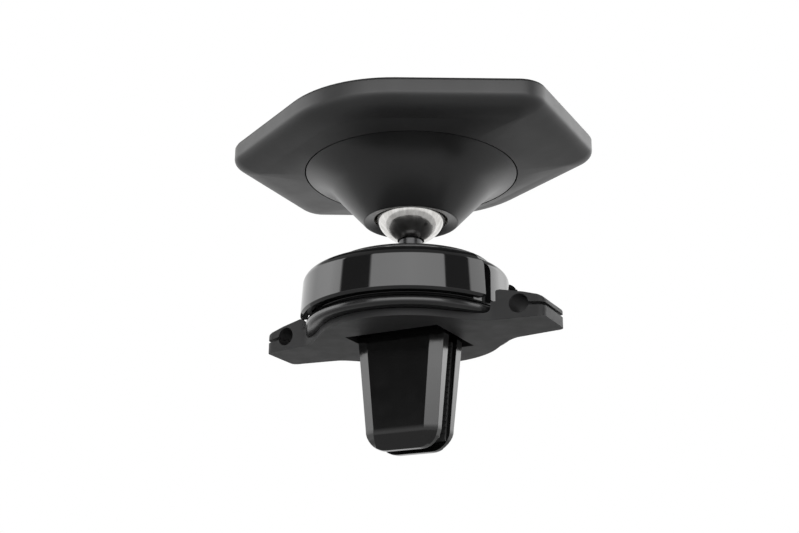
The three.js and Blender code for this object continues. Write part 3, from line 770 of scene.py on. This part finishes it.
def jaw(place, side):
    """A tapered blade with chamfered sides and a rounded tip, on a neck with two ears."""
    levels = [
        jaw_level(JAW_TOP_Z, *JAW_ROOT),
        jaw_level(0, *JAW_ROOT),
        jaw_level(JAW_CORNER_Z, *JAW_END),
    ]
    blade = lofted(f"{place}_jaw", levels + jaw_tip_levels())
    neck_plan = rectangle((-NECK_HALF, NECK_BACK), (NECK_HALF, NECK_FRONT))
    neck = prism("neck", neck_plan, *NECK_Z)
    spring_room = rectangle((-SPRING_ROOM_HALF, 0), (SPRING_ROOM_HALF, SPRING_ROOM_DEPTH))
    cut(neck, prism("spring_room", spring_room, *SPRING_ROOM_Z))
    merged(blade, neck)
    turn_about(blade, side)
    softened(blade, width=0.28, angle=18)
    return dress(blade, JAW_BLACK, "jaw_black", f"{place}_jaw", f"{place}_jaw")


PAD_BACK = 1.6
PAD_FACE = 0.9
PAD_TOP = -0.8
PAD_TIP = -18.6
PAD_TOP_HALF = 7.9
PAD_TAPER = 0.082
RIBS = 17

# One rib down a pad's face: (share of the ribs' pitch, depth below the face).
RIB_STEPS = [(0, 0), (0.65, 0), (0.75, 0.18), (0.92, 0.18)]


def jaw_pad(place, side):
    """A grip pad that narrows to its tip, with fine ribs across its face."""
    pitch = (PAD_TOP - PAD_TIP) / RIBS
    outline = [(PAD_BACK, PAD_TIP), (PAD_BACK, PAD_TOP)]
    for i in range(RIBS):
        outline += [(PAD_FACE + depth, PAD_TOP - (i + share) * pitch) for share, depth in RIB_STEPS]
    loops = [
        [(end * (PAD_TOP_HALF - PAD_TAPER * (PAD_TOP - z)), y, z) for y, z in outline]
        for end in (-1, 1)
    ]
    pad = turn_about(lofted(f"{place}_jaw_pad", loops), side)
    softened(pad, width=0.05, angle=40, segments=2)
    return dress(pad, RUBBER, "rubber", f"{place}_jaw", f"{place}_jaw_pad")


# ---------------------------------------------------------------- twist ring

PAST_RING = RING_RADIUS + 5

# Radii of the ring's inner wall and outer wall, which a fine slot parts from below.
INNER_WALL = (15.2, 16.4)
OUTER_WALL = (16.6, 18.1)
SLOT_TOP = 10.2

# The recess between two grip panels, by the bearings of its ends in degrees.
RECESS_START_DEG = -22.2
RECESS_END_DEG = 28.5

# A grip panel laps over the ring's shoulder, has a chamfer below and is hollow from below.
PANEL_SHOULDER = 10.6
PANEL_CORNER = 1.1
PANEL_BORE = 16.5
PANEL_FOOT = 17.2
PANEL_BOTTOM = RING_BOTTOM + 0.15
PANEL_CHAMFER = 0.4
PANEL_CHAMFER_Z = 4.2
PANEL_TOP_RADIUS = 19.7
PANEL_TOP_ROUND = 2.0
PANEL_LAP = 0.6
HOLLOW = (16.7, 18.7)
HOLLOW_TOP = RING_BOTTOM + 0.9

# The groove in the ring's own wall, beside a panel's end.
GROOVE_END = -3.6
GROOVE_FLOOR = 17
GROOVE_TOP = 10.8
GROOVE_CORNER = 1.4
GROOVE_OVERLAP = 0.05


def across(degrees):
    """How far across the ring's side a bearing lies, at the ring's radius."""
    return RING_RADIUS * math.sin(math.radians(degrees))


def recess_tool(side):
    """The space between two grip panels, with the panels' upper corners rounded off."""
    start = across(RECESS_START_DEG)
    end = across(RECESS_END_DEG)
    corner_z = PANEL_SHOULDER - PANEL_CORNER
    above = RING_TOP + 1
    outline = [(start, 0), (end, 0)]
    outline += arc((end + PANEL_CORNER, corner_z), PANEL_CORNER, 180, 90, steps=8)
    outline += [(end + PANEL_CORNER, above), (start - PANEL_CORNER, above)]
    outline += arc((start - PANEL_CORNER, corner_z), PANEL_CORNER, 90, 0, steps=8)
    return turn_about(prism("recess", outline, 0, PAST_RING, "x"), side)


def groove_tool(side):
    """The groove beside a panel's end, down to its round floor."""
    start = across(RECESS_START_DEG) - GROOVE_OVERLAP
    corner = (GROOVE_END - GROOVE_CORNER, GROOVE_TOP - GROOVE_CORNER)
    outline = [(start, 0), (GROOVE_END, 0)]
    outline += arc(corner, GROOVE_CORNER, 0, 90, steps=8)
    outline.append((start, GROOVE_TOP))
    tool = prism("groove", outline, 0, PAST_RING, "x")
    cut(tool, rod("groove_floor", GROOVE_FLOOR, -1, RING_TOP + 2, sides=FINE))
    return turn_about(tool, side)


def ring_body():
    """The ring itself, with a soft shoulder at its top."""
    return turned("lock_ring", rounded([
        (INNER_WALL[0], RING_BOTTOM, 0),
        (INNER_WALL[1], RING_BOTTOM, 0),
        (INNER_WALL[1], SLOT_TOP, 0),
        (OUTER_WALL[0], SLOT_TOP, 0),
        (OUTER_WALL[0], RING_BOTTOM, 0),
        (OUTER_WALL[1], RING_BOTTOM, 0.2),
        (OUTER_WALL[1], RING_TOP, 1.6),
        (INNER_WALL[0], RING_TOP, 0.2),
    ], steps=10), FINEST)


def grip_panels():
    """A full circle of grip panel, before the recesses are cut from it."""
    return turned("panels", rounded([
        (PANEL_FOOT, PANEL_BOTTOM, 0),
        (RING_RADIUS - PANEL_CHAMFER, PANEL_BOTTOM, 0.12),
        (RING_RADIUS, PANEL_CHAMFER_Z, 0.2),
        (PANEL_TOP_RADIUS, RING_TOP, PANEL_TOP_ROUND),
        (PANEL_BORE, RING_TOP, 0),
        (PANEL_BORE, RING_TOP - PANEL_LAP, 0),
    ], steps=12), FINEST)


def lock_ring():
    """The twist ring, with two long grip panels standing proud of it."""
    body = ring_body()
    panels = grip_panels()
    for side in SIDES:
        cut(panels, recess_tool(side))
        cut(body, groove_tool(side))
    hollow = rectangle((HOLLOW[0], 0), (HOLLOW[1], HOLLOW_TOP))
    cut(panels, turned("hollow", hollow, FINEST))
    merged(body, panels)
    softened(body, width=0.3, angle=50)
    return dress(body, RING_BLACK, "ring_black", "lock_ring", "lock_ring")


# ---------------------------------------------------------------- cap, screws and ball

CAP_BORE = 2.6
SCREW_RECESS_RADIUS = 1.7
SCREW_RECESS_DEPTH = 0.8
SCREW_HOLE_RADIUS = 0.9

SCREW_FOOT = 6.5
SCREW_SHANK_RADIUS = 0.5
SCREW_HEAD_RADIUS = 1.4
SCREW_HEAD_HEIGHT = 0.65
SCREW_SOCKET_RADIUS = 0.65
SCREW_SOCKET_DEPTH = 0.45


def cap():
    """The disc on top of the twist ring, with a hole for the stud and two screw recesses."""
    disc = turned("cap", rounded([
        (CAP_BORE, CAP_BOTTOM, 0),
        (CAP_RADIUS, CAP_BOTTOM, 0.3),
        (CAP_RADIUS, CAP_TOP, 0.55),
        (CAP_BORE, CAP_TOP, 0.1),
    ], steps=8))
    above = CAP_TOP + 1
    for side in SIDES:
        place = (side * SCREW_X, 0)
        recess_floor = CAP_TOP - SCREW_RECESS_DEPTH
        cut(disc, rod("recess", SCREW_RECESS_RADIUS, recess_floor, above, at=place, sides=COARSE))
        cut(disc, rod("hole", SCREW_HOLE_RADIUS, CAP_BOTTOM - 1, above, at=place, sides=HIDDEN))
    softened(disc, width=0.08, angle=50)
    return dress(disc, CAP_BLACK, "cap_black", "base", "cap")


def cap_screw(place, side):
    """A small pan-head screw with a hexagon socket."""
    name = f"cap_screw_{place}"
    top = height(name)
    under_head = top - SCREW_HEAD_HEIGHT
    screw = turned(name, rounded([
        (0, SCREW_FOOT, 0),
        (SCREW_SHANK_RADIUS, SCREW_FOOT, 0),
        (SCREW_SHANK_RADIUS, under_head, 0),
        (SCREW_HEAD_RADIUS, under_head, 0),
        (SCREW_HEAD_RADIUS, top, 0.2),
        (0, top, 0),
    ], steps=5), COARSE)
    cut(screw, rod("socket", SCREW_SOCKET_RADIUS, top - SCREW_SOCKET_DEPTH, top + 1, sides=6))
    screw.data.transform(Matrix.Translation((side * SCREW_X * MM, 0, 0)))
    smooth(screw)
    return dress(screw, STUD_STEEL, "dark_steel", "base", name)


# From below: the stud in the cap, its flange on the cap, and the flared stem up into the ball.
STUD_RADIUS = 2
FLANGE_RADIUS = 4
FLANGE_BOTTOM = CAP_TOP + 0.05
FLANGE_TOP = FLANGE_BOTTOM + 0.75
STEM_RADIUS = 2.2
STEM_FOOT = FLANGE_BOTTOM + 2.4
STEM_FLARE = 2.2
STEM_TOP = BALL_Z - 1.8
BALL_BORE = STEM_RADIUS + 0.3
BALL_BORE_TOP = BALL_Z - 1.4


def ball_stud():
    """A stud with a round flange on the cap, which flares up into the ball's stem."""
    low = height("ball_stud", top=False)
    stud = turned("ball_stud", rounded([
        (0, low, 0),
        (STUD_RADIUS, low, 0),
        (STUD_RADIUS, FLANGE_BOTTOM, 0),
        (FLANGE_RADIUS, FLANGE_BOTTOM, 0),
        (FLANGE_RADIUS, FLANGE_TOP, 0.25),
        (STEM_RADIUS, STEM_FOOT, STEM_FLARE),
        (STEM_RADIUS, STEM_TOP, 0),
        (0, STEM_TOP, 0),
    ], steps=8), MEDIUM)
    return dress(stud, STUD_STEEL, "dark_steel", "base", "ball_stud")


def ball():
    """The ball, with a bore from below for its stem."""
    start = math.degrees(math.asin(BALL_BORE / BALL_RADIUS)) - 90
    profile = [(0, BALL_BORE_TOP), (BALL_BORE, BALL_BORE_TOP)]
    profile += arc((0, BALL_Z), BALL_RADIUS, start, 90, steps=64)
    profile[-1] = (0, BALL_Z + BALL_RADIUS)
    return dress(turned("ball", profile, segments=128), CHROME, "chrome", "ball", "ball")


# ---------------------------------------------------------------- cone

# Points of the cone's outline are (radius, height). The ball sits in the socket inside it.
CONE_MOUTH = (6.7, BALL_Z - 2.3)
CONE_RIM = (8.85, BALL_Z - 2.9)
FLARE_START = (14.8, SEAM_Z - 3.3)
FLARE_BEND = (16.9, SEAM_Z - 1.1)
CONE_TOP = SEAM_Z + 1.4
SOCKET_TOP = BALL_Z + 6.4
SOCKET_BOTTOM = BALL_Z - 2
SOCKET_RADIUS = 8.85
SOCKET_TOP_BORE = 6.9
SOCKET_MOUTH = 6.95


def socket_cone():
    """The cone flares out and flattens until it meets the plate at the seam."""
    rim = rounded([(*CONE_MOUTH, 0.15), (*CONE_RIM, 0.3), (*FLARE_START, 0)], steps=5)
    flare = curve(FLARE_START, FLARE_BEND, (SEAM_RADIUS, SEAM_Z), steps=20)
    inside = [
        (SEAM_RADIUS, CONE_TOP),
        (SOCKET_TOP_BORE, CONE_TOP),
        (SOCKET_TOP_BORE, SOCKET_TOP),
        (SOCKET_RADIUS, SOCKET_TOP),
        (SOCKET_RADIUS, SOCKET_BOTTOM),
        (SOCKET_MOUTH, SOCKET_BOTTOM),
    ]
    cone = turned("socket_cone", rim[:-1] + flare + inside, FINEST, sharp_angle=40)
    return dress(cone, CONE_BLACK, "cone_black", "head", "socket_cone")


# ---------------------------------------------------------------- plate and face pad

# Two sides of the hexagon are its ends. The other four are tilted from the X axis, and meet at
# soft corners in the middle.
PLATE_SIDE_DEG = 28.4
PLATE_SIDE_APOTHEM = 27.8
TIGHT_CORNER = 5.5
SOFT_CORNER = 22
CORNER_STEPS = 14
SIDE_STEPS = 10
UNDERSIDE_STEPS = 12
BEVEL_STEPS = 20

# The plate's soft lower edge is a curve from the underside to the wall: (inset, height).
BEVEL_START = (4.8, BALL_Z + 7.95)
BEVEL_BEND = (0, BALL_Z + 8.8)
BEVEL_END = (0, BALL_Z + 10.8)
WALL_START = (0, BALL_Z + 10.9)

# Inside, the shell is a tray with a step for the face pad and a shelf that the cone meets.
SEAM_RECESS = SEAM_RADIUS + 0.25
SHELF_RADIUS = 3
SHELF_Z = SEAM_Z + 1.5
SHELL_FLOOR = SEAM_Z + 2.7
SHELL_WALL = 3.4
STEP_Z = BALL_Z + 11
STEP_INSET = 1.4

FACE_PAD_BASE_Z = BALL_Z + 12.25
FACE_PAD_SEAT_Z = SHELL_TOP + 0.05
FACE_PAD_BASE_INSET = 1.7


def hex_outline(inset):
    """The stretched hexagon with soft corners, with as many points at every inset."""
    tilt = math.radians(PLATE_SIDE_DEG)
    end = PLATE_END - inset
    apothem = PLATE_SIDE_APOTHEM - inset
    peak = apothem / math.cos(tilt)
    shoulder = (apothem - end * math.sin(tilt)) / math.cos(tilt)
    tight = max(TIGHT_CORNER - inset, 1)
    soft = SOFT_CORNER - inset
    corners = [
        (end, shoulder, tight), (0, peak, soft), (-end, shoulder, tight),
        (-end, -shoulder, tight), (0, -peak, soft), (end, -shoulder, tight),
    ]
    arcs = rounded(corners, CORNER_STEPS)
    points = []
    for i, point in enumerate(arcs):
        here = Vector(point)
        points.append(here)
        if (i + 1) % (CORNER_STEPS + 1) == 0:
            after = Vector(arcs[(i + 1) % len(arcs)])
            points += [here.lerp(after, (k + 1) / (SIDE_STEPS + 1)) for k in range(SIDE_STEPS)]
    return points


def hex_loop(inset, z):
    """The hexagon at one height."""
    return [(p.x, p.y, z) for p in hex_outline(inset)]


def round_loop(radius, z):
    """A round loop whose points lie at the same bearings as the hexagon's."""
    return [(*(p.normalized() * radius), z) for p in hex_outline(0)]


def between(low, high, share):
    """A loop part of the way from one loop to another."""
    return [tuple(Vector(a).lerp(Vector(b), share)) for a, b in zip(low, high)]


def plate_shell():
    """The underside rises from the round seam to a soft edge, and then there is a wall."""
    seam = round_loop(SEAM_RECESS, SEAM_Z)
    inner = hex_loop(*BEVEL_START)
    loops = [round_loop(SEAM_RECESS, SHELF_Z), seam]
    loops += [between(seam, inner, step / UNDERSIDE_STEPS) for step in range(1, UNDERSIDE_STEPS)]
    loops += [hex_loop(*point) for point in curve(BEVEL_START, BEVEL_BEND, BEVEL_END, BEVEL_STEPS)]
    rim = [
        WALL_START,
        (0, SHELL_TOP - 0.25),
        (0.07, SHELL_TOP - 0.08),
        (0.25, SHELL_TOP),
        (STEP_INSET, SHELL_TOP),
        (STEP_INSET, STEP_Z),
        (SHELL_WALL, STEP_Z),
        (SHELL_WALL, SHELL_FLOOR),
    ]
    loops += [hex_loop(*point) for point in rim]
    loops += [round_loop(SHELF_RADIUS, SHELL_FLOOR), round_loop(SHELF_RADIUS, SHELF_Z)]
    shell = lofted("plate_shell", loops, closed_stack=True, sharp_angle=38)
    evened(shell)
    return dress(shell, PLATE_GREY, "plate_grey", "head", "plate_shell")


def face_pad():
    """The pad that the phone rests on, with a softly rounded edge."""
    profile = [
        (FACE_PAD_BASE_INSET, FACE_PAD_BASE_Z),
        (FACE_PAD_BASE_INSET, FACE_PAD_SEAT_Z),
        (0.3, FACE_PAD_SEAT_Z),
        (0.25, FACE_PAD_SEAT_Z + 0.06),
        (0.25, FACE_TOP - 0.2),
        (0.32, FACE_TOP - 0.08),
        (0.5, FACE_TOP - 0.01),
        (0.7, FACE_TOP),
    ]
    pad = lofted("face_pad", [hex_loop(*point) for point in profile], sharp_angle=40)
    return dress(pad, RUBBER, "rubber", "head", "face_pad")


# ---------------------------------------------------------------- CAD nodes that stay

KEPT_NODES = {
    NYLON: ["cam_sleeve", "carriage", "lower_liner", "upper_liner", "pressure_cup"],
    ZINC_STEEL: ["stud_nut", "yoke_plate", "front_drive_pin", "rear_drive_pin", "front_hinge_pin",
                 "rear_hinge_pin", "plate_screw_1", "plate_screw_2", "plate_screw_3"],
    SPRING_STEEL: ["release_spring", "front_jaw_spring", "rear_jaw_spring", "disc_spring"],
    CONE_BLACK: ["magnet_tray"],
    NICKEL: [f"magnet_{i}" for i in range(1, 7)],
}


def build():
    """Everything, in order: the stage, the new pieces, then the nodes that stay."""
    make_camera()
    make_floor()
    make_studio()
    base_body()
    bearing_ring()
    lock_ring()
    cap()
    for place, side in (("left", -1), ("right", 1)):
        cap_screw(place, side)
    ball_stud()
    ball()
    socket_cone()
    plate_shell()
    face_pad()
    for place, side in (("front", -1), ("rear", 1)):
        jaw(place, side)
        jaw_pad(place, side)
    for material, names in KEPT_NODES.items():
        for name in names:
            keep_node(name, material)


build()
